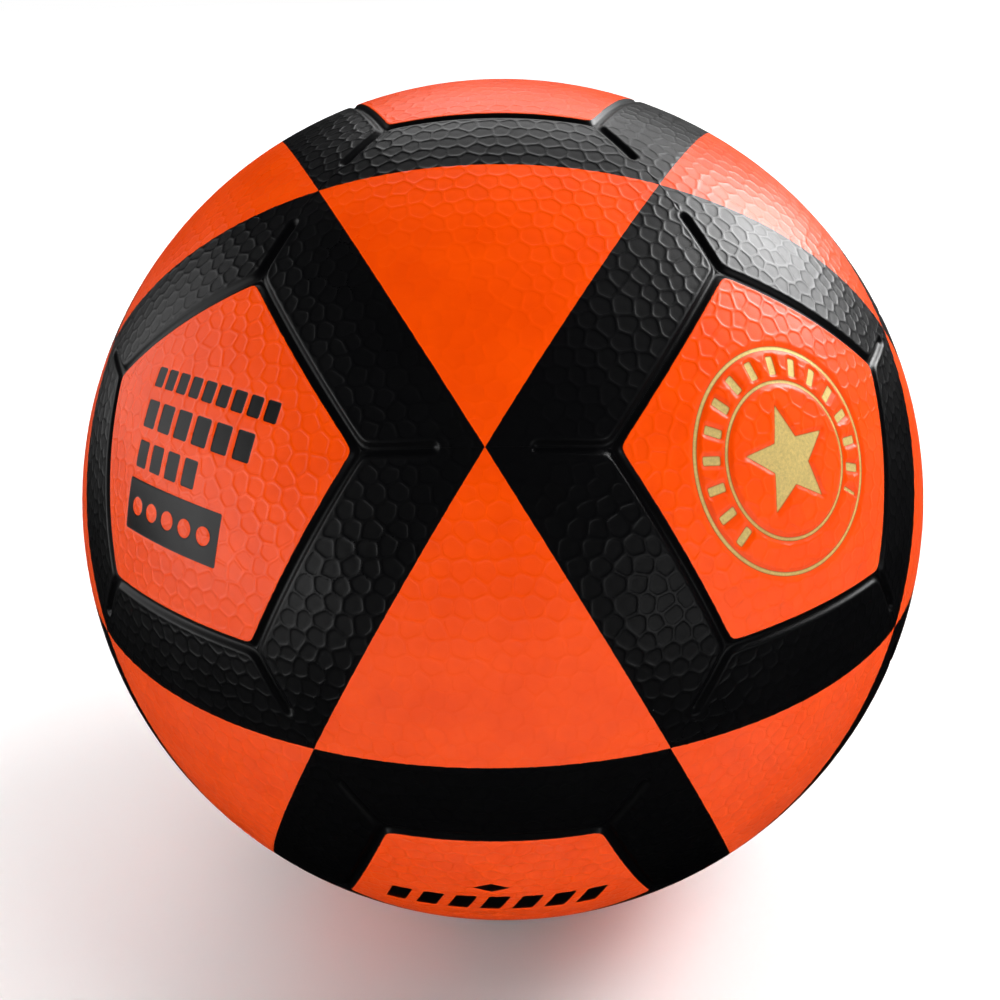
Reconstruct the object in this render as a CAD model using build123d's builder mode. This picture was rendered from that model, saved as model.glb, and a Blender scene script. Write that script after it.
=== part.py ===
from build123d import *
from math import asin, atan, cos, degrees, pi, radians, sin, sqrt, tan
import os

# Size 5 soccer ball in millimetres: 32 laminated panels glued over a wound, rubber-covered
# carcass, with a bladder and a replaceable valve core. The origin is the ball's centre, +Z
# goes through the middle of the top pentagon, and -Y is the front.
# Azimuths turn from -Y towards +X, and tilts are measured down from +Z.

# Ball and layers, from the outside in
ball_radius = 110.0
skin_thickness = 1.0
foam_thickness = 2.5
cover_thickness = 0.5
winding_thickness = 0.8
bladder_thickness = 0.6
glue_line = 0.05

# Seams
seam_gap = 0.1
groove_width = 2.4
groove_depth = 0.9
spur_stop = 8.0  # from the middle of a hexagon seam to the rounded end of its groove

# Valve
valve_recess = 0.4  # top of the valve below the ball's surface
needle_radius = 1.0
needle_depth = 17.5
lead_in_radius = 1.6
lead_in_depth = 1.2
core_radius = 2.5
core_length = 21.5
core_head_radius = 3.1
core_head_thickness = 0.8
core_tip_chamfer = 0.6
core_fit = 0.05
head_wall = 0.65  # housing left around the core's head
housing_fit = 0.2
stem_wall = 2.0
stop_thickness = 2.0
stop_hole_radius = 1.6
flange_radius = 14.0
flange_thickness = 1.2
patch_radius = 16.0
patch_thickness = 1.4

# The panels are a truncated icosahedron drawn on the ball: circumradius over edge length
edge_ratio = sqrt(58 + 18 * sqrt(5)) / 4
half_seam_angle = degrees(asin(0.5 / edge_ratio))

# Each layer's outer and inner radius
foam_outer = ball_radius - skin_thickness - glue_line
foam_inner = foam_outer - foam_thickness
cover_outer = foam_inner - glue_line
cover_inner = cover_outer - cover_thickness
winding_outer = cover_inner - glue_line
winding_inner = winding_outer - winding_thickness
bladder_outer = winding_inner - glue_line
bladder_inner = bladder_outer - bladder_thickness
lining_outer = bladder_inner - glue_line

# Panel rings: name, tilt of the axes from +Z, azimuth of the first panel, number of panels
upper_pentagon_tilt = degrees(atan(2))
crown_hexagon_tilt = degrees(atan(3 - sqrt(5)))
upper_hexagon_tilt = degrees(atan(3 + sqrt(5)))
pentagon_rings = [
    ("top", 0, 0, 1),
    ("upper", upper_pentagon_tilt, 36, 5),
    ("lower", 180 - upper_pentagon_tilt, 0, 5),
    ("bottom", 180, 0, 1),
]
hexagon_rings = [
    ("crown", crown_hexagon_tilt, 0, 5),
    ("upper", upper_hexagon_tilt, 0, 5),
    ("lower", 180 - upper_hexagon_tilt, 36, 5),
    ("base", 180 - crown_hexagon_tilt, 36, 5),
]
valve_panel = "upper_3"  # at the back, opposite the pentagon printed lowest on the front


def direction(tilt, azimuth):
    # Unit vector at this tilt from +Z and this azimuth from -Y
    across = sin(radians(tilt))
    return Vector(
        across * sin(radians(azimuth)),
        -across * cos(radians(azimuth)),
        cos(radians(tilt)),
    )


def ring_places(rings, corner_up):
    # Panel name to its plane: Z out through the panel's middle, X towards +Z or away from it
    places = {}
    for ring, tilt, first_azimuth, count in rings:
        for number in range(count):
            azimuth = first_azimuth + 360 * number / count
            outward = direction(tilt, azimuth)
            upward = direction(tilt - 90, azimuth)
            name = ring if count == 1 else f"{ring}_{number + 1}"
            sign = corner_up[ring]
            places[name] = Plane((0, 0, 0), x_dir=upward * sign, z_dir=outward)
    return places


def seam_tilt(sides):
    # Angle at the ball's centre between a panel's middle and the middle of its edge
    circumradius = 0.5 / sin(pi / sides)
    inradius = 0.5 / tan(pi / sides)
    return atan(inradius / sqrt(edge_ratio**2 - circumradius**2))


def side_angle(sides, side):
    # A pentagon has a corner on +X, and a hexagon the middle of a side
    return 2 * pi * side / sides + (pi / 5 if sides == 5 else 0)


def outline(sides, height, insets):
    # Corners of the panel's pyramid at this height, each side set in from its seam plane
    tilt = seam_tilt(sides)
    turn = sin(2 * pi / sides)
    reach = [height * tan(tilt) - inset / cos(tilt) for inset in insets]
    corners = []
    for side in range(sides):
        following = (side + 1) % sides
        a, b = side_angle(sides, side), side_angle(sides, following)
        x = (reach[side] * sin(b) - reach[following] * sin(a)) / turn
        y = (reach[following] * cos(a) - reach[side] * cos(b)) / turn
        corners.append((x, y))
    return corners


def tile(sides, outer_radius, inner_radius, insets):
    # Part of a round shell whose edges lie along the seam planes
    with BuildPart() as blank:
        Sphere(outer_radius, rotation=(90, 0, 0))
        Sphere(inner_radius, rotation=(90, 0, 0), mode=Mode.SUBTRACT)
        for height in (0.5 * inner_radius, 1.2 * outer_radius):
            with BuildSketch(Plane.XY.offset(height)):
                with BuildLine():
                    Polyline(*outline(sides, height, insets), close=True)
                make_face()
        loft(mode=Mode.INTERSECT)
    return blank.part


def seam_plane(sides, side):
    # X out through the middle of the seam, Y along it
    azimuth = side_angle(sides, side)
    tilt = seam_tilt(sides)
    middle = Vector(sin(tilt) * cos(azimuth), sin(tilt) * sin(azimuth), cos(tilt))
    along = Vector(-sin(azimuth), cos(azimuth), 0)
    return Plane((0, 0, 0), x_dir=middle, z_dir=middle.cross(along))


def stepped_tile(sides, top, bottom, side_gap, half_width):
    # A tile let down by the groove's depth, this far each side of its grooved seams. Every
    # pentagon seam is grooved. A seam between hexagons is grooved at its two ends only.
    grooved = [sides == 5 or side % 2 == 0 for side in range(sides)]
    insets = [half_width if cut else side_gap for cut in grooved]
    floor = top - groove_depth
    raised = tile(sides, top, floor, insets)
    low = tile(sides, floor, bottom, [side_gap] * sides)
    first = degrees((spur_stop + groove_width / 2) / ball_radius)
    last = half_seam_angle + degrees(2 * groove_width / ball_radius)
    spur_length = radians(last - first) * ball_radius
    with BuildPart() as body:
        add(raised)
        for side in [side for side in range(sides) if not grooved[side]]:
            for end in (1, -1):
                seam = seam_plane(sides, side).rotated((0, 0, end * (first + last) / 2))
                above = seam.from_local_coords(Vector(top, 0, 0))
                with BuildSketch(Plane(above, x_dir=seam.y_dir, z_dir=seam.x_dir)):
                    SlotCenterToCenter(spur_length, 2 * half_width)
                extrude(amount=3 * groove_depth, both=True, mode=Mode.SUBTRACT)
        add(low)
    return body.part


def panel_skin(sides):
    # The sheet follows the grooves on both faces
    half_groove = groove_width / 2
    outer = stepped_tile(sides, ball_radius, foam_inner, seam_gap / 2, half_groove)
    cavity_top = ball_radius - skin_thickness
    cavity = stepped_tile(
        sides, cavity_top, foam_inner - skin_thickness, -skin_thickness, half_groove + skin_thickness
    )
    with BuildPart() as sheet:
        add(outer)
        add(cavity, mode=Mode.SUBTRACT)
    return sheet.part


def panel_foam(sides):
    # The foam fills the skin from behind
    half_width = groove_width / 2 + skin_thickness + glue_line
    return stepped_tile(sides, foam_outer, foam_inner, seam_gap / 2, half_width)


def with_valve_hole(blank, hole_radius):
    with BuildPart() as pierced:
        add(blank)
        with Locations((0, 0, ball_radius)):
            Cylinder(hole_radius, ball_radius / 2, mode=Mode.SUBTRACT)
    return pierced.part


def save(part, name):
    part.label = name
    export_step(part, f"parts/{name}.step")


os.makedirs("parts", exist_ok=True)

# A pentagon's corners point at its neighbours, so the top one has a corner away from the
# front. A hexagon's pentagon sides face away from its ring's neighbours.
corner_up = {"top": 1, "upper": 1, "lower": -1, "bottom": 1}
side_up = {"crown": 1, "upper": -1, "lower": 1, "base": -1}
pentagon_places = ring_places(pentagon_rings, corner_up)
hexagon_places = ring_places(hexagon_rings, side_up)
valve_place = pentagon_places[valve_panel]

# Valve radii that follow from the core
housing_radius = core_head_radius + core_fit + head_wall
hole_radius = housing_radius + housing_fit
bore_radius = core_radius + core_fit
stem_radius = bore_radius + stem_wall
valve_top = ball_radius - valve_recess
core_bottom = valve_top - core_length
stop_top = core_bottom - core_fit
stem_bottom = stop_top - stop_thickness

# Panels: a skin and its foam for each
pentagon_skin = panel_skin(5)
pentagon_foam = panel_foam(5)
valve_skin = with_valve_hole(pentagon_skin, hole_radius)
valve_foam = with_valve_hole(pentagon_foam, hole_radius)
hexagon_skin = panel_skin(6)
hexagon_foam = panel_foam(6)

for name, place in pentagon_places.items():
    has_valve = name == valve_panel
    with BuildPart() as pentagon_panel:
        with Locations(place):
            add(valve_skin if has_valve else pentagon_skin)
    save(pentagon_panel.part, f"pentagon_panel_{name}")

for name, place in hexagon_places.items():
    with BuildPart() as hexagon_panel:
        with Locations(place):
            add(hexagon_skin)
    save(hexagon_panel.part, f"hexagon_panel_{name}")
    with BuildPart() as hexagon_backing:
        with Locations(place):
            add(hexagon_foam)
    save(hexagon_backing.part, f"hexagon_foam_{name}")

with BuildPart() as pentagon_foams:
    for name, place in pentagon_places.items():
        with Locations(place):
            add(valve_foam if name == valve_panel else pentagon_foam)
save(pentagon_foams.part, "pentagon_foams")


# Carcass: each layer is a whole shell with one hole for the valve
def pierced_shell(outer_radius, inner_radius):
    with BuildPart(valve_place) as shell:
        Sphere(outer_radius)
        Sphere(inner_radius, mode=Mode.SUBTRACT)
        with Locations((0, 0, outer_radius)):
            Cylinder(hole_radius, outer_radius / 2, mode=Mode.SUBTRACT)
    return shell.part


save(pierced_shell(cover_outer, cover_inner), "rubber_cover")
save(pierced_shell(winding_outer, winding_inner), "thread_winding")
save(pierced_shell(bladder_outer, bladder_inner), "bladder")

# Valve housing: a flange bonded inside the bladder, a neck out to the panel and a stem inwards
flange_top = sqrt(lining_outer**2 - housing_radius**2)
flange_inner = lining_outer - flange_thickness
rim_top = sqrt(lining_outer**2 - flange_radius**2)
rim_bottom = sqrt(flange_inner**2 - flange_radius**2)
stem_top = sqrt(flange_inner**2 - stem_radius**2)
head_seat = valve_top - core_head_thickness
with BuildPart(valve_place) as valve_housing:
    with BuildSketch(Plane(valve_place.origin, x_dir=valve_place.x_dir, z_dir=-valve_place.y_dir)):
        with BuildLine():
            Polyline(
                (stem_radius, stem_top),
                (stem_radius, stem_bottom),
                (stop_hole_radius, stem_bottom),
                (stop_hole_radius, stop_top),
                (bore_radius, stop_top),
                (bore_radius, head_seat),
                (core_head_radius + core_fit, head_seat),
                (core_head_radius + core_fit, valve_top),
                (housing_radius, valve_top),
                (housing_radius, flange_top),
            )
            RadiusArc((housing_radius, flange_top), (flange_radius, rim_top), lining_outer)
            Line((flange_radius, rim_top), (flange_radius, rim_bottom))
            RadiusArc((flange_radius, rim_bottom), (stem_radius, stem_top), -flange_inner)
        make_face()
    revolve(axis=Axis(valve_place.origin, valve_place.z_dir))
save(valve_housing.part, "valve_housing")

# Valve core: a headed rubber plug with a needle passage that its tip seals
with BuildPart(valve_place) as valve_core:
    with BuildSketch(Plane(valve_place.origin, x_dir=valve_place.x_dir, z_dir=-valve_place.y_dir)):
        with BuildLine():
            Polyline(
                (0, core_bottom),
                (core_radius - core_tip_chamfer, core_bottom),
                (core_radius, core_bottom + core_tip_chamfer),
                (core_radius, head_seat),
                (core_head_radius, head_seat),
                (core_head_radius, valve_top),
                (lead_in_radius, valve_top),
                (needle_radius, valve_top - lead_in_depth),
                (needle_radius, valve_top - needle_depth),
                (0, valve_top - needle_depth),
                close=True,
            )
        make_face()
    revolve(axis=Axis(valve_place.origin, valve_place.z_dir))
save(valve_core.part, "valve_core")

# Balance patch: bonded inside the bladder, opposite the valve
with BuildPart(valve_place) as bladder_balance_patch:
    Sphere(lining_outer)
    Sphere(lining_outer - patch_thickness, mode=Mode.SUBTRACT)
    with Locations((0, 0, -lining_outer)):
        Cylinder(patch_radius, lining_outer / 2, mode=Mode.INTERSECT)
save(bladder_balance_patch.part, "bladder_balance_patch")
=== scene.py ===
import math

import bpy
import numpy as np
from mathutils import Matrix, Vector


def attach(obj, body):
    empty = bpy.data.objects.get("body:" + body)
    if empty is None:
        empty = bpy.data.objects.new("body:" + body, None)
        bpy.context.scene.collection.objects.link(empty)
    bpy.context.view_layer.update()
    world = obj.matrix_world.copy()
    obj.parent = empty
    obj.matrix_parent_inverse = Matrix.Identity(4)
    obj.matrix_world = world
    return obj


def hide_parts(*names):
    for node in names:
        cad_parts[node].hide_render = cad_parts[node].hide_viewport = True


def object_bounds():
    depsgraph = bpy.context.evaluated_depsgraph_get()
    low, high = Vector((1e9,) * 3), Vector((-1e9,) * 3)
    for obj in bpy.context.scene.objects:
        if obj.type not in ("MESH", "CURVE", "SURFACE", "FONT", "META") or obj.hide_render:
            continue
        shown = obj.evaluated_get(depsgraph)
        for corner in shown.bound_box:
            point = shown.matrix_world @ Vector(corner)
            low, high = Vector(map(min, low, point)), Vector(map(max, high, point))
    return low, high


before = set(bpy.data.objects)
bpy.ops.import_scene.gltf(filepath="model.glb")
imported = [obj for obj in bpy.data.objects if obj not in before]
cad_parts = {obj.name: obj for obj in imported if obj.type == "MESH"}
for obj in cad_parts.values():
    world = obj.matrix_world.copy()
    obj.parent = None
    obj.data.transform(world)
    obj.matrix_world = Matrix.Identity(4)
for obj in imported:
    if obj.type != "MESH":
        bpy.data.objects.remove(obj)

# A size 5 laminated football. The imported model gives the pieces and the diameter. Every panel
# is rebuilt here with its grooves, its dimpled surface and its prints.
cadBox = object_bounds()
mm = 0.001
radius = round(float(max(cadBox[1])) / mm, 1)  # the ball's radius in mm

# What every panel shares, in mm. Distances are measured along the ball's surface.
panel = {
    "seamGap": 0.005,  # from the panel's edge to the middle of the seam
    "skin": 1.0,
    "grooveDepth": 0.9,
    "grooveHalfWidth": 1.2,
    "shoulder": 0.13,
    "cornerSharpness": 1.8,  # per mm, how tightly the raised part turns a corner
    "spurStop": 8.0,  # a hexagon seam is grooved only beyond this distance from its middle
    "edgeSteps": [0.0, 0.13, 0.28, 0.45, 0.64, 0.86, 1.1, 1.4],
    "printInset": 1.28,  # a pentagon's orange print ends this far from the seam
}

# The embossed dimples: a jittered honeycomb with raised ridges between shallow cells
dimple = {
    "pitch": 4.15,  # between the middles of neighbouring cells
    "jitter": 0.21,  # share of the pitch
    "ridgeHalf": 0.04,  # flat top of a ridge, from its middle
    "wall": 0.52,  # from a ridge's top to the cell's floor
    "depth": 0.066,
    "crispHalf": 0.14,  # the same cells again as a finer bump
    "crispWall": 0.32,
    "crispDepth": 0.03,
    "cornerSharpness": 5.5,
    "fadeFrom": 1.3,
    "fadeTo": 2.3,
    "candidates": (-1, 0, 1, 2),  # neighbouring seeds to try, in grid steps
    "seed": 11,
    "moves": 997,  # entries in the table of random moves
    "moveStrides": (37, 101),  # how a seed's row and column choose its entry
    "sheet": 60,  # each panel is cut from its own place on a sheet this wide
}

# Rings of points from a panel's middle to its edge, and how many make one step at the back
lattice = {
    "pentagon": (84, 7),
    "hexagon": (96, 8),
    "printed": (132, 12),
    "valve": (84, 1),
    "valveFirstRing": 12,
}

# Attribute values that mean far from any cell wall, mark or print
nowhere = {"cellBorder": 3.0, "markEdge": 5.0, "print": -5.0}

colours = {
    "orange": "#EC4800",
    "black": "#060607",
    "gold": "#F4D888",
    # The next colour is painted shade along the edges of the debossed foil marks
    "paintedFoilEdgeShade": "#7A3E0A",
    "foam": "#D9D6C8",
    "rubber": "#1B1B1A",
    "butyl": "#141416",
    "nylon": "#D8D4C4",
    "valveRubber": "#23201E",
    "floor": "#F4F4F4",
}


def linear(hexColour):
    # sRGB hex to linear light: c / 12.92 near black, and ((c + 0.055) / 1.055) ^ 2.4 above it
    parts = [int(hexColour[i:i + 2], 16) / 255 for i in (1, 3, 5)]
    curve = [c / 12.92 if c <= 0.04045 else ((c + 0.055) / 1.055) ** 2.4 for c in parts]
    return (*curve, 1.0)


def unit(v):
    # Each vector over its own length
    return v / np.linalg.norm(v, axis=-1, keepdims=True)


def direction(tilt, azimuth):
    # Tilt is measured down from +Z, azimuth from -Y towards +X, in degrees
    t, a = math.radians(tilt), math.radians(azimuth)
    return np.array([math.sin(t) * math.sin(a), -math.sin(t) * math.cos(a), math.cos(t)])


def smoothStep(low, high, x):
    # 0 below low and 1 above high, joined by 3 t^2 - 2 t^3
    t = np.clip((x - low) / (high - low), 0, 1)
    return t * t * (3 - 2 * t)


def smoothLeast(values, sharpness):
    # A minimum with rounded corners: minus log(sum of exp(-k v)) over k
    least = values.min(axis=0)
    return least - np.log(np.exp(-sharpness * (values - least)).sum(axis=0)) / sharpness


# A truncated icosahedron drawn on a ball: circumradius over edge length
edgeRatio = math.sqrt(58 + 18 * math.sqrt(5)) / 4


def seamTilt(sides):
    # Angle between a panel's middle and the middle of its edge: its tangent is the flat
    # polygon's inner radius over its distance from the ball's centre
    around = 0.5 / math.sin(math.pi / sides)
    inside = 0.5 / math.tan(math.pi / sides)
    return math.atan(inside / math.sqrt(edgeRatio ** 2 - around ** 2))


# Rings of panels: name, tilt, first azimuth, count, and whether corner 0 (or pentagon side 0
# of a hexagon) faces up
upperPentagonTilt = math.degrees(math.atan(2))
crownTilt = math.degrees(math.atan(3 - math.sqrt(5)))
upperTilt = math.degrees(math.atan(3 + math.sqrt(5)))
rings = {
    "pentagon": [
        ("top", 0, 0, 1, 1),
        ("upper", upperPentagonTilt, 36, 5, 1),
        ("lower", 180 - upperPentagonTilt, 0, 5, -1),
        ("bottom", 180, 0, 1, 1),
    ],
    "hexagon": [
        ("crown", crownTilt, 0, 5, 1),
        ("upper", upperTilt, 0, 5, -1),
        ("lower", 180 - upperTilt, 36, 5, 1),
        ("base", 180 - crownTilt, 36, 5, -1),
    ],
}


def panelPlaces(shape):
    # Node name, outward direction, rightward and upward directions, and which way corner 0 is
    places = []
    for ring, tilt, firstAzimuth, count, facing in rings[shape]:
        for number in range(count):
            azimuth = firstAzimuth + 360 * number / count
            out = direction(tilt, azimuth)
            up = direction(tilt - 90, azimuth)
            name = ring if count == 1 else f"{ring}_{number + 1}"
            places.append((f"{shape}_panel_{name}", out, np.cross(up, out), up, facing))
    return places


def ringLattice(sides, ringCount, firstRing=0):
    # Points on rings from the middle outwards: ring j has j points on each side. Returns each
    # point's ring, side and share of the side, and the triangles between the rings.
    ringNumbers = np.arange(max(firstRing, 1), ringCount + 1)
    counts = sides * ringNumbers
    starts = np.cumsum(counts) - counts + (1 if firstRing == 0 else 0)
    ring = np.repeat(ringNumbers, counts)
    start = np.repeat(starts, counts)
    place = np.arange(counts.sum()) + (1 if firstRing == 0 else 0) - start
    side, step = place // ring, place % ring
    faces = []
    inner = ring > ringNumbers[0]
    r, s, p, k, i = ring[inner], start[inner], place[inner], side[inner], step[inner]
    innerStart = s - sides * (r - 1)
    here = s + p
    following = s + (p + 1) % (sides * r)
    below = innerStart + (k * (r - 1) + i) % (sides * (r - 1))
    faces.append(np.stack([here, following, below], axis=1))
    short = i < r - 1
    belowNext = innerStart + (k * (r - 1) + i + 1) % (sides * (r - 1))
    faces.append(np.stack([below, following, belowNext], axis=1)[short])
    if firstRing == 0:
        first = np.arange(sides)
        middle = np.zeros(sides, int)
        faces.append(np.stack([1 + first, 1 + (first + 1) % sides, middle], axis=1))
        ring = np.concatenate([[0], ring])
        side = np.concatenate([[0], side])
        step = np.concatenate([[0], step])
    share = step / np.maximum(ring, 1)
    return ring, side, share, np.concatenate(faces), starts[-1]


def latticeOnPlane(sides, ring, side, share, spread, turn):
    # The lattice on the plane that touches the ball at the panel's middle, in units of the
    # radius: straight lines there are great circles on the ball
    corner = math.tan(seamTilt(sides)) / math.cos(math.pi / sides)
    angle = turn + 2 * math.pi / sides * side
    following = angle + 2 * math.pi / sides
    x = spread * corner * ((1 - share) * np.cos(angle) + share * np.cos(following))
    y = spread * corner * ((1 - share) * np.sin(angle) + share * np.sin(following))
    return x, y


def ringSpread(sides, ringCount, steps):
    # How far out each ring stands, from 0 to 1: evenly spaced, then the last rings at their
    # own distances from the edge. Near the edge 1 mm on the ball is 1 / (R sin t cos t) here.
    tilt = seamTilt(sides)
    reach = radius * math.sin(tilt) * math.cos(tilt)
    edge = np.array(steps) + panel["seamGap"]
    even = np.linspace(0, 1 - edge[-1] / reach, ringCount + 2 - len(steps))
    return np.concatenate([even, (1 - edge[:-1] / reach)[::-1]])


def dimpleDepth(x, y, shift):
    # Distance from each point to the border of its honeycomb cell, and the depth there.
    # Seeds stand on a triangular grid, each moved by its own entry in a random table. The
    # border with a seed is (its squared distance - the nearest one's) / (2 x seeds' distance).
    pitch = dimple["pitch"]
    row = pitch * math.sqrt(3) / 2
    x = x + shift[0]
    y = y + shift[1]
    v = y / row
    u = x / pitch - v / 2
    iu, iv = np.floor(u).astype(int), np.floor(v).astype(int)
    seeds = []
    for du in dimple["candidates"]:
        for dv in dimple["candidates"]:
            ci, cj = iu + du, iv + dv
            rowStride, columnStride = dimple["moveStrides"]
            move = jitterTable[(ci * rowStride + cj * columnStride) % len(jitterTable)]
            seeds.append(np.stack([
                (ci + cj / 2) * pitch + move[:, 0],
                cj * row + move[:, 1],
            ]))
    seeds = np.stack(seeds)
    squared = (seeds[:, 0] - x) ** 2 + (seeds[:, 1] - y) ** 2
    nearest = squared.argmin(axis=0)
    here = np.arange(len(x))
    own = seeds[nearest, :, here]
    apart = np.hypot(seeds[:, 0] - own[:, 0], seeds[:, 1] - own[:, 1])
    border = (squared - squared[nearest, here]) / (2 * np.maximum(apart, 1e-6))
    border[nearest, here] = np.inf
    border = smoothLeast(border, dimple["cornerSharpness"])
    sunk = smoothStep(dimple["ridgeHalf"], dimple["ridgeHalf"] + dimple["wall"], border)
    return border, sunk


jitterTable = np.random.default_rng(dimple["seed"]).uniform(-1, 1, (dimple["moves"], 2))
jitterTable = jitterTable * dimple["jitter"] * dimple["pitch"]

# Prints in mm on the panel: x to the right, y up, from the panel's middle
sizeMark = {
    "rows": [
        {"left": -18.4, "bottom": 12.0, "height": 4.3, "width": 3.2, "pitch": 4.25, "count": 9},
        {"left": -18.2, "bottom": 3.4, "height": 5.8, "width": 4.3, "pitch": 5.8, "count": 6},
        {"left": -17.6, "bottom": -4.9, "height": 5.6, "width": 3.9, "pitch": 5.5, "count": 4},
    ],
    "box": {"middle": (-3.4, -12.8), "half": (15.1, 5.5)},
    "dots": {"first": -14.4, "pitch": 5.5, "count": 5, "radius": 1.9},
    "round": 0.45,
}
frontMark = {
    "left": -24.6,
    "bottom": -4.2,
    "height": 9.6,
    "width": 4.6,
    "pitch": 7.2,
    "count": 7,
    "slant": 0.28,
    "round": 0.6,
    "lozenge": {"middle": (-1.1, 10.6), "half": (4.0, 2.2)},
    "lozengeSlope": 0.85,  # turns the lozenge's measure into mm from its side
}
emblem = {
    "middle": (-1.0, -0.5),
    "outer": (22.1, 0.38),
    "inner": (15.2, 0.32),
    "bars": {
        "radius": 18.5,
        "half": (0.85, 1.9),
        "round": 0.3,
        "count": 16,
        "from": -36.0,  # degrees round the emblem
        "to": 216.0,
    },
    "star": {"outer": 10.8, "inner": 4.8, "points": 5},
}
# How deep a print is pressed in, and over what distance from its edge the sheet comes up
inkDeboss = {"depth": 0.22, "from": -0.1, "to": 0.4}
foilDeboss = {"depth": 0.5, "from": -0.1, "to": 1.1}


def boxDistance(x, y, middle, half, corner=0.0, slant=0.0):
    # Signed distance to a rounded box, negative inside: the distance to a box smaller by the
    # corner's radius, less that radius. A slanted one leans to the right.
    px = np.abs(x - middle[0] - slant * (y - middle[1])) - half[0] + corner
    py = np.abs(y - middle[1]) - half[1] + corner
    outside = np.hypot(np.maximum(px, 0), np.maximum(py, 0))
    return outside + np.minimum(np.maximum(px, py), 0) - corner


def polygonDistance(x, y, corners):
    # Signed distance to a closed polygon: the least distance to any side, negative where a
    # line to one side crosses the outline an odd number of times
    best = np.full(x.shape, np.inf)
    crossings = np.zeros(x.shape, int)
    for a, b in zip(corners, np.roll(corners, -1, axis=0)):
        ex, ey = b - a
        wx, wy = x - a[0], y - a[1]
        t = np.clip((wx * ex + wy * ey) / (ex * ex + ey * ey), 0, 1)
        best = np.minimum(best, np.hypot(wx - ex * t, wy - ey * t))
        rising = (a[1] <= y) != (b[1] <= y)
        side = wx * ey - wy * ex
        crossings += rising & ((side > 0) == (ey < 0))
    return np.where(crossings % 2 == 1, -best, best)


def sizeMarkDistance(x, y):
    # Three rows of plain blocks and a plate with five dots left out: the least distance to
    # any of them
    marks = []
    for line in sizeMark["rows"]:
        for number in range(line["count"]):
            middle = (
                line["left"] + line["pitch"] * number + line["width"] / 2,
                line["bottom"] + line["height"] / 2,
            )
            half = (line["width"] / 2, line["height"] / 2)
            marks.append(boxDistance(x, y, middle, half, sizeMark["round"]))
    plate = sizeMark["box"]
    box = boxDistance(x, y, plate["middle"], plate["half"], sizeMark["round"])
    dots = sizeMark["dots"]
    for number in range(dots["count"]):
        away = np.hypot(x - dots["first"] - dots["pitch"] * number, y - plate["middle"][1])
        box = np.maximum(box, dots["radius"] - away)
    return np.minimum(np.min(marks, axis=0), box)


def frontMarkDistance(x, y):
    # A row of leaning blocks under a lozenge: the least distance to any of them
    marks = []
    for number in range(frontMark["count"]):
        middle = (
            frontMark["left"] + frontMark["pitch"] * number + frontMark["width"] / 2,
            frontMark["bottom"] + frontMark["height"] / 2,
        )
        half = (frontMark["width"] / 2, frontMark["height"] / 2)
        marks.append(boxDistance(x, y, middle, half, frontMark["round"], frontMark["slant"]))
    lozenge = frontMark["lozenge"]
    px = np.abs(x - lozenge["middle"][0]) / lozenge["half"][0]
    py = np.abs(y - lozenge["middle"][1]) / lozenge["half"][1]
    marks.append((px + py - 1) * lozenge["half"][1] * frontMark["lozengeSlope"])
    return np.min(marks, axis=0)


def emblemDistance(x, y):
    # Two rings, a band of short bars between them and a star in the middle: the least
    # distance to any of them, each bar in its own polar cell
    px, py = x - emblem["middle"][0], y - emblem["middle"][1]
    away, angle = np.hypot(px, py), np.degrees(np.arctan2(py, px))
    marks = [np.abs(away - r) - half for r, half in (emblem["outer"], emblem["inner"])]
    bars = emblem["bars"]
    step = (bars["to"] - bars["from"]) / (bars["count"] - 1)
    turned = (angle - bars["from"]) % 360
    number = np.clip(np.round(turned / step), 0, bars["count"] - 1)
    offset = np.radians((turned - number * step + 180) % 360 - 180)
    along = away * np.cos(offset) - bars["radius"]
    across = away * np.sin(offset)
    marks.append(boxDistance(across, along, (0, 0), bars["half"], bars["round"]))
    star = emblem["star"]
    turns = np.arange(2 * star["points"]) * math.pi / star["points"] + math.pi / 2
    reach = np.where(np.arange(2 * star["points"]) % 2 == 0, star["outer"], star["inner"])
    corners = np.stack([reach * np.cos(turns), reach * np.sin(turns)], axis=1)
    marks.append(polygonDistance(px, py, corners))
    return np.min(marks, axis=0)


foilNode = "pentagon_panel_upper_1"
prints = {
    foilNode: emblemDistance,
    "pentagon_panel_upper_5": sizeMarkDistance,
    "pentagon_panel_lower_1": frontMarkDistance,
}
valveNode = "pentagon_panel_upper_3"
valveHole = {
    "radius": 4.0,
    "round": 0.45,
    "calmBy": 0.45,  # share of the rings over which the lattice leaves the hole's circle
}


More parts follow.
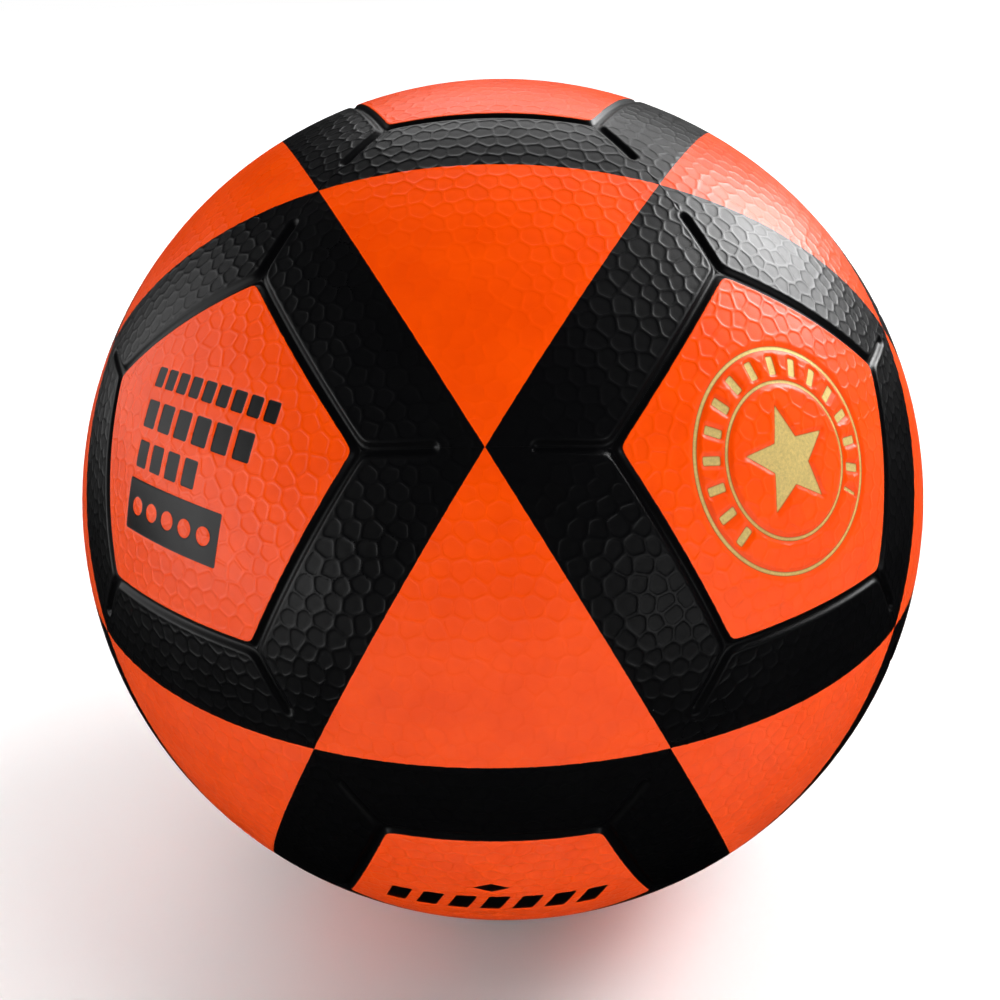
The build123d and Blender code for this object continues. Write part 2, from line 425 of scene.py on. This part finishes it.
def panelSurface(shape, x, y, out, right, up, turn):
    # Directions from the ball's centre, and how far each point is from the grooves and from
    # the three lines that bound a hexagon's orange print. The distance to a great circle is
    # R arcsin(point . normal), and a spur's end adds the distance along the seam.
    sides = 5 if shape == "pentagon" else 6
    tilt = seamTilt(sides)
    points = unit(out + x[:, None] * right + y[:, None] * up)
    toGroove, printLines = [], []
    for side in range(sides):
        angle = turn + 2 * math.pi * (side + 0.5) / sides
        outward = math.cos(angle) * right + math.sin(angle) * up
        along = -math.sin(angle) * right + math.cos(angle) * up
        inwardNormal = math.sin(tilt) * out - math.cos(tilt) * outward
        distance = radius * np.arcsin(points @ inwardNormal)
        if shape == "pentagon" or side % 2 == 0:
            toGroove.append(distance)
            continue
        middle = math.cos(tilt) * out + math.sin(tilt) * outward
        travelled = radius * np.arctan2(points @ along, points @ middle)
        grooveEnd = panel["spurStop"] + panel["grooveHalfWidth"]
        toGroove.append(np.hypot(distance, np.maximum(grooveEnd - np.abs(travelled), 0)))
    if shape == "hexagon":
        reach = math.tan(tilt) / 2
        for side in (0, 2, 4):
            angle = turn + 2 * math.pi * (side + 0.5) / sides
            outward = math.cos(angle) * right + math.sin(angle) * up
            normal = (reach * out - outward) / math.hypot(reach, 1)
            printLines.append(radius * (points @ normal))
    groove = smoothLeast(np.stack(toGroove), panel["cornerSharpness"])
    return points, groove, printLines


def grooveDepth(distance):
    # A parabola across the groove, depth (1 - (d / half width)^2), blended into the panel by
    # k log(1 + exp(depth / k)), which rounds its shoulder
    wide = panel["grooveHalfWidth"]
    cut = panel["grooveDepth"] * (1 - (distance / wide) ** 2)
    k = panel["shoulder"]
    limit = 40  # keeps the exponential finite
    return k * np.logaddexp(0, np.clip(cut / k, -limit, limit))


def closedShell(outerCount, outerFaces, outerRim, innerCount, innerFaces, innerRim, step):
    # Joins the front lattice to a coarser one behind it by a wall round the rim. Each coarse
    # triangle on the rim takes in the fine points along its edge.
    fine = len(outerRim)
    rimCopy = outerCount + innerCount + np.arange(fine)
    number = outerCount + np.arange(innerCount)
    number[innerRim] = rimCopy[::step]
    onRim = np.isin(innerFaces, innerRim).sum(axis=1) == 2
    fanStart = (innerFaces[onRim][:, 0] - innerRim[0]) * step
    along = (fanStart[:, None] + np.arange(step, -1, -1)) % fine
    fans = np.column_stack([number[innerFaces[onRim][:, 2]], rimCopy[along]])
    back = number[innerFaces[~onRim]][:, ::-1]
    following = np.roll(np.arange(fine), -1)
    wall = np.stack([outerRim, rimCopy, rimCopy[following], outerRim[following]], axis=1)
    return [outerFaces, back, fans, wall]


def meshFromArrays(name, points, polygons, attributes, rim):
    # Polygons are arrays of vertex numbers, one row each. The rim's edges stay sharp, so that
    # two panels meet without a shaded line.
    mesh = bpy.data.meshes.new(name)
    mesh.vertices.add(len(points))
    mesh.vertices.foreach_set("co", (points * mm).astype(np.float32).ravel())
    sizes = np.concatenate([np.full(len(p), p.shape[1]) for p in polygons])
    corners = np.concatenate([p.ravel() for p in polygons])
    mesh.loops.add(len(corners))
    mesh.loops.foreach_set("vertex_index", corners.astype(np.int32))
    mesh.polygons.add(len(sizes))
    mesh.polygons.foreach_set("loop_start", (np.cumsum(sizes) - sizes).astype(np.int32))
    mesh.update(calc_edges=True)
    mesh.shade_smooth()
    ends = np.empty(2 * len(mesh.edges), np.int32)
    mesh.edges.foreach_get("vertices", ends)
    sharp = np.isin(ends.reshape(-1, 2), rim).all(axis=1)
    mesh.attributes.new("sharp_edge", "BOOLEAN", "EDGE").data.foreach_set("value", sharp)
    for label, values in attributes.items():
        kind = "FLOAT_VECTOR" if values.ndim == 2 else "FLOAT"
        field = "vector" if values.ndim == 2 else "value"
        layer = mesh.attributes.new(label, kind, "POINT")
        layer.data.foreach_set(field, values.astype(np.float32).ravel())
    piece = bpy.data.objects.new(name, mesh)
    bpy.context.scene.collection.objects.link(piece)
    return piece


def makePanel(shape, node, out, right, up, facing, shift):
    # One panel: the dimpled front, the wall round its edge and the plain back. The front lies
    # at the radius less the groove's, the print's and the dimple's depth.
    sides = 5 if shape == "pentagon" else 6
    kind = "valve" if node == valveNode else "printed" if node in prints else shape
    ringCount, step = lattice[kind]
    firstRing = lattice["valveFirstRing"] if kind == "valve" else 0
    turn = math.pi / 2 if facing > 0 else -math.pi / 2
    if shape == "hexagon":
        turn -= math.pi / sides
    ring, side, share, faces, rimStart = ringLattice(sides, ringCount, firstRing)
    spread = ringSpread(sides, ringCount, panel["edgeSteps"])
    x, y = latticeOnPlane(sides, ring, side, share, spread[ring], turn)
    if kind == "valve":
        x, y = openHole(x, y, ring, firstRing, ringCount)
    points, groove, printLines = panelSurface(shape, x, y, out, right, up, turn)
    sheetX, sheetY = radius * x, radius * y
    border, sunk = dimpleDepth(sheetX, sheetY, shift)
    calm = smoothStep(dimple["fadeFrom"], dimple["fadeTo"], groove)
    mark = np.full(len(x), nowhere["markEdge"])
    if node in prints:
        mark = prints[node](sheetX, sheetY)
    deboss = foilDeboss if node == foilNode else inkDeboss
    pressed = 1 - smoothStep(deboss["from"], deboss["to"], mark)
    drop = grooveDepth(groove) + deboss["depth"] * pressed
    drop = drop + dimple["depth"] * sunk * calm * (1 - pressed)
    if kind == "valve":
        away = np.hypot(sheetX, sheetY) - valveHole["radius"]
        drop = drop + valveHole["round"] * np.clip(1 - away / valveHole["round"], 0, 1) ** 2
    front = points * (radius - drop)[:, None]
    rim = np.arange(rimStart, rimStart + sides * ringCount)

    backRings = ringCount // step
    backFirst = firstRing // step
    ringB, sideB, shareB, facesB, rimStartB = ringLattice(sides, backRings, backFirst)
    spreadB = spread[::step]
    xB, yB = latticeOnPlane(sides, ringB, sideB, shareB, spreadB[ringB], turn)
    if kind == "valve":
        xB, yB = openHole(xB, yB, ringB, backFirst, backRings)
    pointsB, grooveB, _ = panelSurface(shape, xB, yB, out, right, up, turn)
    back = pointsB * (radius - panel["skin"] - grooveDepth(grooveB))[:, None]
    rimB = np.arange(rimStartB, rimStartB + sides * backRings)
    rimBack = points[rim] * (radius - panel["skin"] - grooveDepth(groove[rim]))[:, None]
    polygons = closedShell(len(front), faces, rim, len(back), facesB, rimB, step)
    allPoints = np.concatenate([front, back, rimBack])
    if kind == "valve":
        hole = np.arange(sides * firstRing)
        holeNext = np.roll(hole, -1)
        holeWall = [hole, holeNext, holeNext + len(front), hole + len(front)]
        polygons.append(np.stack(holeWall, axis=1))
    used = np.ones(len(allPoints), bool)
    used[len(front) + rimB] = False
    renumber = np.cumsum(used) - 1
    polygons = [renumber[p] for p in polygons]

    def padded(values, fill):
        # The front's values, then the same fill for every point behind it
        extra = np.full((used.sum() - len(front),) + values.shape[1:], fill)
        return np.concatenate([values, extra])

    attributes = {
        "cellBorder": padded(border, nowhere["cellBorder"]),
        "cellStrength": padded(calm * (1 - pressed), 0.0),
        "markEdge": padded(mark, nowhere["markEdge"]),
    }
    if shape == "hexagon":
        attributes["printLines"] = padded(np.stack(printLines, axis=1), nowhere["print"])
    else:
        attributes["printEdge"] = padded(groove - panel["printInset"], nowhere["print"])
    return meshFromArrays(node + "_skin", allPoints[used], polygons, attributes, rim)


def openHole(x, y, ring, firstRing, ringCount):
    # Moves the first ring onto the valve hole's circle, and the next ones less and less:
    # share x circle + (1 - share) x old distance from the middle
    away = np.hypot(x, y)
    share = 1 - smoothStep(firstRing, valveHole["calmBy"] * ringCount, ring)
    hole = valveHole["radius"] / radius
    circle = hole + (ring - firstRing) / ringCount * math.tan(seamTilt(5))
    wanted = share * circle + (1 - share) * away
    return x * wanted / away, y * wanted / away


def fillInputs(tree, node, inputs):
    # Inputs are values or other nodes' outputs, in the node's own order or by name or number
    pairs = inputs.items() if isinstance(inputs, dict) else enumerate(inputs)
    for label, value in pairs:
        if isinstance(value, bpy.types.NodeSocket):
            tree.links.new(value, node.inputs[label])
        else:
            node.inputs[label].default_value = value


def addNode(tree, kind, output, inputs=(), **settings):
    # One node with its settings and its inputs. Gives the output asked for, or all of them.
    node = tree.nodes.new(kind)
    for label, value in settings.items():
        setattr(node, label, value)
    fillInputs(tree, node, inputs)
    return node.outputs if output is None else node.outputs[output]


def startMaterial(name):
    # A new material with its node tree and its Principled shader
    material = bpy.data.materials.new(name)
    material.use_nodes = True
    tree = material.node_tree
    return material, tree, tree.nodes["Principled BSDF"]


def shaded(colour, factors):
    # A colour with its red, green and blue multiplied
    return (*(c * f for c, f in zip(colour[:3], factors)), 1.0)


def perMm(size):
    # The scale of a pattern whose features are this many mm wide
    return 1 / (size * mm)


noiseRange = (0.3, 0.7)  # nearly all of a noise's values lie between these

# Sizes and bump heights in mm. A range gives the values that a pattern's own share runs over.
laminateFinish = {
    "ior": 1.5,
    "specular": 0.36,
    "roughness": (0.33, 0.41),
    "glossPatch": 14.0,  # patches of more and less gloss
    "ridgePolish": 0.05,  # the ridges are that much less rough
    "orangePatch": 9.0,
    "orangeRange": (0.35, 0.65),
    "orangeShade": (0.93, 0.86, 0.8),
    "printSoft": 0.03,  # half the width of the printed edge
    "printWaver": 0.04,
    "waverLength": 1.6,
    "markSoft": 0.05,
    "grain": {"size": 0.35, "bump": 0.01, "roughness": 0.03},
    "fineGrain": {"size": 0.12, "bump": 0.004},
}
foilFinish = {
    "shade": (0.7, 0.7, 0.7),
    "scratch": 0.6,
    "scratchRange": (0.35, 0.75),
    "metallic": 0.45,
    "addedRoughness": 0.08,
    # Width in mm, either side of the edge, and strength of the painted shade along each foil
    # mark's edge
    "edgeShadeWidth": 0.22,
    "edgeShadeShare": 0.55,
}


def laminate(shape, printed=""):
    # Embossed PVC synthetic leather with a clear top coat: orange ground with black print, a
    # soft sheen, dimple ridges polished a little brighter, and a fine leather grain.
    # The print shows where its signed edge distance is negative.
    material, tree, shader = startMaterial(f"embossed PVC laminate {shape} {printed}")
    finish = laminateFinish
    where = addNode(tree, "ShaderNodeTexCoord", "Object")
    if shape == "hexagon":
        lines = addNode(tree, "ShaderNodeAttribute", "Vector", attribute_name="printLines")
        parts = addNode(tree, "ShaderNodeSeparateXYZ", None, [lines])
        two = addNode(tree, "ShaderNodeMath", 0, [parts[0], parts[1]], operation="MINIMUM")
        edge = addNode(tree, "ShaderNodeMath", 0, [two, parts[2]], operation="MINIMUM")
    else:
        edge = addNode(tree, "ShaderNodeAttribute", "Fac", attribute_name="printEdge")
    waves = addNode(tree, "ShaderNodeTexNoise", "Fac", {
        "Vector": where,
        "Scale": perMm(finish["waverLength"]),
    })
    waver = finish["printWaver"]
    moved = addNode(tree, "ShaderNodeMapRange", "Result", [waves, *noiseRange, -waver, waver])
    edge = addNode(tree, "ShaderNodeMath", 0, [edge, moved], operation="ADD")
    soft = finish["printSoft"]
    orangeShare = addNode(tree, "ShaderNodeMapRange", "Result", [edge, -soft, soft, 0, 1])
    patches = addNode(tree, "ShaderNodeTexNoise", "Fac", {
        "Vector": where,
        "Scale": perMm(finish["orangePatch"]),
        "Detail": 3.0,
    })
    patchRange = [patches, *finish["orangeRange"], 0, 1]
    patchShare = addNode(tree, "ShaderNodeMapRange", "Result", patchRange)
    black = linear(colours["black"])
    lighter = linear(colours["orange"])
    darker = shaded(lighter, finish["orangeShade"])
    orange = addNode(
        tree, "ShaderNodeMix", 2, {0: patchShare, 6: lighter, 7: darker}, data_type="RGBA"
    )
    colour = addNode(
        tree, "ShaderNodeMix", 2, {0: orangeShare, 6: black, 7: orange}, data_type="RGBA"
    )

    # The cells' walls, and grain in two sizes
    border = addNode(tree, "ShaderNodeAttribute", "Fac", attribute_name="cellBorder")
    strength = addNode(tree, "ShaderNodeAttribute", "Fac", attribute_name="cellStrength")
    wallStart = dimple["crispHalf"]
    wallEnd = wallStart + dimple["crispWall"]
    ridge = addNode(
        tree, "ShaderNodeMapRange", "Result", [border, wallStart, wallEnd, 1, 0],
        interpolation_type="SMOOTHSTEP",
    )
    ridge = addNode(tree, "ShaderNodeMath", 0, [ridge, strength], operation="MULTIPLY")
    sunk = addNode(tree, "ShaderNodeMath", 0, [strength, ridge], operation="SUBTRACT")
    grain = addNode(tree, "ShaderNodeTexNoise", "Fac", {
        "Vector": where,
        "Scale": perMm(finish["grain"]["size"]),
        "Detail": 3.0,
        "Roughness": 0.6,
    })
    fineGrain = addNode(tree, "ShaderNodeTexNoise", "Fac", {
        "Vector": where,
        "Scale": perMm(finish["fineGrain"]["size"]),
    })
    glossPatch = addNode(tree, "ShaderNodeTexNoise", "Fac", {
        "Vector": where,
        "Scale": perMm(finish["glossPatch"]),
        "Detail": 3.0,
    })
    smooth, dull = finish["roughness"]
    swing = finish["grain"]["roughness"]
    glossRange = [glossPatch, *noiseRange, smooth, dull]
    rough = addNode(tree, "ShaderNodeMapRange", "Result", glossRange)
    grainRange = [grain, *noiseRange, -swing, swing]
    grainRough = addNode(tree, "ShaderNodeMapRange", "Result", grainRange)
    rough = addNode(tree, "ShaderNodeMath", 0, [rough, grainRough], operation="ADD")
    polish = addNode(
        tree, "ShaderNodeMath", 0, [ridge, finish["ridgePolish"]], operation="MULTIPLY"
    )
    rough = addNode(tree, "ShaderNodeMath", 0, [rough, polish], operation="SUBTRACT")

    surface = {"IOR": finish["ior"], "Specular IOR Level": finish["specular"]}
    if printed:
        mark = addNode(tree, "ShaderNodeAttribute", "Fac", attribute_name="markEdge")
        soft = finish["markSoft"]
        inMark = addNode(tree, "ShaderNodeMapRange", "Result", [mark, -soft, soft, 1, 0])
    if printed == "ink":
        colour = addNode(
            tree, "ShaderNodeMix", 2, {0: inMark, 6: colour, 7: black}, data_type="RGBA"
        )
    if printed == "foil":
        # Hot-stamped gold foil: a thin metal film that shows the grain under it
        scratches = addNode(tree, "ShaderNodeTexNoise", "Fac", {
            "Vector": where,
            "Scale": perMm(foilFinish["scratch"]),
            "Detail": 4.0,
            "Roughness": 0.7,
        })
        scratchRange = [scratches, *foilFinish["scratchRange"], 0, 1]
        scratched = addNode(tree, "ShaderNodeMapRange", "Result", scratchRange)
        bright = linear(colours["gold"])
        deep = shaded(bright, foilFinish["shade"])
        gold = addNode(
            tree, "ShaderNodeMix", 2, {0: scratched, 6: bright, 7: deep}, data_type="RGBA"
        )
        colour = addNode(
            tree, "ShaderNodeMix", 2, {0: inMark, 6: colour, 7: gold}, data_type="RGBA"
        )
        # Painted shade: a dark brown line painted on both sides of each mark's edge, where the
        # sheet turns down into the deboss
        away = addNode(tree, "ShaderNodeMath", 0, [mark], operation="ABSOLUTE")
        edgeShadeRange = [away, 0, foilFinish["edgeShadeWidth"], foilFinish["edgeShadeShare"], 0]
        rim = addNode(tree, "ShaderNodeMapRange", "Result", edgeShadeRange)
        edgeShadeColour = linear(colours["paintedFoilEdgeShade"])
        colour = addNode(
            tree, "ShaderNodeMix", 2, {0: rim, 6: colour, 7: edgeShadeColour}, data_type="RGBA"
        )
        duller = addNode(
            tree, "ShaderNodeMath", 0, [inMark, foilFinish["addedRoughness"]],
            operation="MULTIPLY",
        )
        rough = addNode(tree, "ShaderNodeMath", 0, [rough, duller], operation="ADD")
        surface["Metallic"] = addNode(
            tree, "ShaderNodeMath", 0, [inMark, foilFinish["metallic"]], operation="MULTIPLY"
        )

    # Height = - wall depth x sunk + the two grains
    height = addNode(
        tree, "ShaderNodeMath", 0, [sunk, -dimple["crispDepth"]], operation="MULTIPLY"
    )
    for noise, name in ((grain, "grain"), (fineGrain, "fineGrain")):
        tooth = addNode(
            tree, "ShaderNodeMath", 0, [noise, finish[name]["bump"]], operation="MULTIPLY"
        )
        height = addNode(tree, "ShaderNodeMath", 0, [height, tooth], operation="ADD")
    surface["Base Color"] = colour
    surface["Roughness"] = rough
    surface["Normal"] = addNode(tree, "ShaderNodeBump", "Normal", {
        "Strength": 1.0,
        "Distance": mm,
        "Height": height,
    })
    fillInputs(tree, shader, surface)
    return material


foamFinish = {
    "pore": 0.5,
    "poreRange": (0.1, 0.5),
    # How dark the painted shade in the middle of each pore is
    "paintedPoreShade": (0.72, 0.72, 0.72),
    "poreDepth": 0.08,
    "roughness": 0.85,
}


def closedCellFoam():
    # Knife-cut EVA foam: matt, with pores of about half a millimetre, each painted darker
    # towards its middle as painted shade in its hollow
    material, tree, shader = startMaterial("closed cell EVA foam")
    where = addNode(tree, "ShaderNodeTexCoord", "Object")
    pores = addNode(tree, "ShaderNodeTexVoronoi", "Distance", {
        "Vector": where,
        "Scale": perMm(foamFinish["pore"]),
    })
    poreRange = [pores, *foamFinish["poreRange"], 0, 1]
    pore = addNode(tree, "ShaderNodeMapRange", "Result", poreRange)
    base = linear(colours["foam"])
    # Painted shade: each pore's hollow is painted darker towards its middle
    shade = shaded(base, foamFinish["paintedPoreShade"])
    fillInputs(tree, shader, {
        "Base Color": addNode(
            tree, "ShaderNodeMix", 2, {0: pore, 6: shade, 7: base}, data_type="RGBA"
        ),
        "Roughness": foamFinish["roughness"],
        "Normal": addNode(tree, "ShaderNodeBump", "Normal", {
            "Distance": foamFinish["poreDepth"] * mm,
            "Height": pore,
        }),
    })
    return material


# Tooth is the surface's grain and depth its height, in mm
rubbers = {
    "calendered rubber cover": {"colour": "rubber", "rough": 0.7, "tooth": 0.6, "depth": 0.1},
    "butyl": {"colour": "butyl", "rough": 0.5, "tooth": 1.2, "depth": 0.05},
    "moulded butyl": {"colour": "butyl", "rough": 0.45, "tooth": 0.3, "depth": 0.03},
    "valve rubber": {"colour": "valveRubber", "rough": 0.55, "tooth": 0.25, "depth": 0.04},
}
talcBloom = {
    "patch": 11.0,
    "range": (0.45, 0.75),
    "lift": 1.6,
    "haze": 0.01,
    "smoother": 0.06,
    "duller": 0.08,
}


def mouldedRubber(name):
    # Calendered or moulded rubber: dull, with a talc bloom in patches and a fine tooth
    finish = rubbers[name]
    material, tree, shader = startMaterial(name)
    where = addNode(tree, "ShaderNodeTexCoord", "Object")
    bloom = addNode(tree, "ShaderNodeTexNoise", "Fac", {
        "Vector": where,
        "Scale": perMm(talcBloom["patch"]),
        "Detail": 4.0,
    })
    tooth = addNode(tree, "ShaderNodeTexNoise", "Fac", {
        "Vector": where,
        "Scale": perMm(finish["tooth"]),
        "Detail": 3.0,
        "Roughness": 0.6,
    })
    base = linear(colours[finish["colour"]])
    dusty = (*(c * talcBloom["lift"] + talcBloom["haze"] for c in base[:3]), 1.0)
    bloomRange = [bloom, *talcBloom["range"], 0, 1]
    share = addNode(tree, "ShaderNodeMapRange", "Result", bloomRange)
    smooth = finish["rough"] - talcBloom["smoother"]
    dull = finish["rough"] + talcBloom["duller"]
    fillInputs(tree, shader, {
        "Base Color": addNode(
            tree, "ShaderNodeMix", 2, {0: share, 6: base, 7: dusty}, data_type="RGBA"
        ),
        "Roughness": addNode(
            tree, "ShaderNodeMapRange", "Result", [bloom, *noiseRange, smooth, dull]
        ),
        "IOR": 1.52,
        "Normal": addNode(tree, "ShaderNodeBump", "Normal", {
            "Distance": finish["depth"] * mm,
            "Height": tooth,
        }),
    })
    return material


winding = {
    "turns": ((0.4, 0.2, 0.0), (1.3, -0.5, 0.7), (-0.6, 1.0, 1.9)),  # one for each layer
    "thread": 1.2,
    "waver": 1.5,
    # How dark the painted shade in the gaps between the threads is
    "paintedGapShade": (0.45, 0.45, 0.45),
    "depth": 0.3,
    "roughness": 0.55,
}
bandsPerScale = 0.314  # a wave texture of scale 1 repeats every 0.314 units


def woundNylon():
    # Nylon yarn wound over itself in every direction and set in latex: bands of thread seen as
    # fine lines that cross at several angles. The highest of the layers shows, and the low gaps
    # between the bands are painted darker as painted shade.
    material, tree, shader = startMaterial("latex-set nylon winding")
    where = addNode(tree, "ShaderNodeTexCoord", "Object")
    layers = []
    for turn in winding["turns"]:
        placed = addNode(tree, "ShaderNodeMapping", "Vector", {
            "Vector": where,
            "Rotation": turn,
        })
        layers.append(addNode(tree, "ShaderNodeTexWave", "Fac", {
            "Vector": placed,
            "Scale": bandsPerScale * perMm(winding["thread"]),
            "Distortion": winding["waver"],
            "Detail": 1.0,
        }, wave_type="BANDS"))
    upper = addNode(tree, "ShaderNodeMath", 0, layers[:2], operation="MAXIMUM")
    height = addNode(tree, "ShaderNodeMath", 0, [upper, layers[2]], operation="MAXIMUM")
    base = linear(colours["nylon"])
    # Painted shade: the low gaps between the thread bands are painted darker
    shade = shaded(base, winding["paintedGapShade"])
    fillInputs(tree, shader, {
        "Base Color": addNode(
            tree, "ShaderNodeMix", 2, {0: height, 6: shade, 7: base}, data_type="RGBA"
        ),
        "Roughness": winding["roughness"],
        "Normal": addNode(tree, "ShaderNodeBump", "Normal", {
            "Distance": winding["depth"] * mm,
            "Height": height,
        }),
    })
    return material


def dress(names, material):
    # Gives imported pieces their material
    for name in names:
        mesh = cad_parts[name].data
        mesh.materials.clear()
        mesh.materials.append(material)


# The camera first
view = {
    "distance": 2.5717,  # ball radii
    "elevation": 26.93,
    "azimuth": 1.74,
    "roll": -1.32,
    "lens": 35.89,
    "aimRight": -0.68,  # mm
    "aimUp": -0.14,
}
eye = direction(90 - view["elevation"], view["azimuth"]) * view["distance"] * radius * mm
forward = unit(-eye)
levelRight = unit(np.cross(forward, [0, 0, 1]))
levelUp = np.cross(levelRight, forward)
roll = math.radians(view["roll"])
cameraRight = math.cos(roll) * levelRight + math.sin(roll) * levelUp
cameraUp = np.cross(cameraRight, forward)
aim = (view["aimRight"] * cameraRight + view["aimUp"] * cameraUp) * mm
forward = unit(aim - eye)
cameraRight = unit(np.cross(forward, cameraUp))
cameraUp = np.cross(cameraRight, forward)
camera = bpy.data.objects.new("camera", bpy.data.cameras.new("camera"))
bpy.context.scene.collection.objects.link(camera)
cameraPlace = Matrix((cameraRight, cameraUp, -forward)).transposed().to_4x4()
cameraPlace.translation = Vector(eye)
camera.matrix_world = cameraPlace
camera.data.lens = view["lens"]
camera.data.sensor_width = 36
camera.data.clip_start = 0.005
bpy.context.scene.camera = camera
print("camera set")

plain = {shape: laminate(shape) for shape in ("pentagon", "hexagon")}
foil = laminate("pentagon", "foil")
ink = laminate("pentagon", "ink")
places = [(shape, *place) for shape in ("pentagon", "hexagon") for place in panelPlaces(shape)]
cuts = np.random.default_rng(dimple["seed"] + 1)
shiftTable = cuts.uniform(0, dimple["sheet"], (len(places), 2))
for (shape, node, *directions), shift in zip(places, shiftTable):
    piece = makePanel(shape, node, *directions, shift)
    material = plain[shape]
    if node in prints:
        material = foil if node == foilNode else ink
    piece.data.materials.append(material)
    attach(piece, "ball")
    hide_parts(node)
print("panels made:", len(places))

dress([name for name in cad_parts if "foam" in name], closedCellFoam())
dress(["rubber_cover"], mouldedRubber("calendered rubber cover"))
dress(["bladder", "bladder_balance_patch"], mouldedRubber("butyl"))
dress(["thread_winding"], woundNylon())
dress(["valve_housing"], mouldedRubber("moulded butyl"))
dress(["valve_core"], mouldedRubber("valve rubber"))
print("inner pieces dressed")

# Elevation and azimuth in degrees, distance and size in metres, radiance. Radiance 1 lights
# like a white card in full light. The cards show in the gloss and the fills don't.
cards = {
    "key box": (33, 120, 0.9, (0.5, 0.4), 11.0),
    "left card": (16, -96, 1.0, (1.0, 0.6), 1.1),
    "low left card": (2, -62, 1.0, (0.8, 0.35), 1.9),
    "low right card": (0, 40, 1.0, (0.35, 0.3), 1.3),
    "rear card": (42, 174, 1.0, (0.8, 0.35), 2.4),
}
fills = {
    "top fill": (58, 66, 1.0, (0.35, 0.35), 9.0),
    "right fill": (8, 58, 1.0, (0.5, 0.4), 4.8),
    "front fill": (12, -8, 1.0, (0.8, 0.6), 1.1),
    "left fill": (16, -60, 1.0, (0.7, 0.6), 0.9),
    "rear fill": (30, -150, 1.0, (0.8, 0.7), 2.2),
}
# Wide panels that face straight down, out of every view: place, size and radiance
ceiling = {
    "sky panel": ((0, 0, 1.9), (3.2, 3.2), 0.6),
    "floor wash": ((0, 13.5, 5), (24, 24), 0.55),
}


def hangLight(name, place, size, radiance, inGloss):
    # A rectangle that gives radiance x pi x its area in watts
    data = bpy.data.lights.new(name, "AREA")
    data.shape = "RECTANGLE"
    data.size, data.size_y = size
    data.energy = radiance * math.pi * size[0] * size[1]
    data.cycles.use_multiple_importance_sampling = inGloss
    lamp = bpy.data.objects.new(name, data)
    lamp.matrix_world = place
    lamp.visible_glossy = inGloss
    bpy.context.scene.collection.objects.link(lamp)
    return lamp


for boxes, inGloss in ((cards, True), (fills, False)):
    for name, (elevation, azimuth, away, size, radiance) in boxes.items():
        spot = Vector(direction(90 - elevation, azimuth) * away)
        facing = spot.to_track_quat("Z", "Y").to_matrix().to_4x4()
        hangLight(name, Matrix.Translation(spot) @ facing, size, radiance, inGloss)
for name, (spot, size, radiance) in ceiling.items():
    lamp = hangLight(name, Matrix.Translation(spot), size, radiance, False)
    lamp.visible_camera = False

# A white room that is seen but lights nothing
world = bpy.data.worlds.new("studio")
bpy.context.scene.world = world
world.use_nodes = True
background = world.node_tree.nodes["Background"]
background.inputs["Color"].default_value = linear("#FFFFFF")
background.inputs["Strength"].default_value = 1.0
world.cycles_visibility.glossy = False
world.cycles_visibility.diffuse = False

# White paper sweep, matt. It glows white far from the ball, so that it meets the room
# without an edge: glow = (distance - 0.45 m) / 1.05 m, from 0 to 1.
sweep = {"half": 60.0, "glowFrom": 0.45, "glowTo": 1.5, "roughness": 0.9}
half = sweep["half"]
ground = float(cadBox[0][2])
floorMesh = bpy.data.meshes.new("floor")
outline = ((-half, -half), (half, -half), (half, half), (-half, half))
floorMesh.from_pydata([(x, y, ground) for x, y in outline], [], [(0, 1, 2, 3)])
floor = bpy.data.objects.new("floor", floorMesh)
bpy.context.scene.collection.objects.link(floor)
paper, paperTree, paperShader = startMaterial("white paper sweep")
floorPoint = addNode(paperTree, "ShaderNodeTexCoord", "Object")
reach = addNode(paperTree, "ShaderNodeVectorMath", "Value", [floorPoint], operation="LENGTH")
glowRange = [reach, sweep["glowFrom"], sweep["glowTo"], 0, 1]
fillInputs(paperTree, paperShader, {
    "Base Color": linear(colours["floor"]),
    "Roughness": sweep["roughness"],
    "Emission Color": linear("#FFFFFF"),
    "Emission Strength": addNode(paperTree, "ShaderNodeMapRange", "Result", glowRange),
})
floorMesh.materials.append(paper)
floor.visible_glossy = False
bpy.context.scene.view_settings.view_transform = "Standard"
print("studio set")
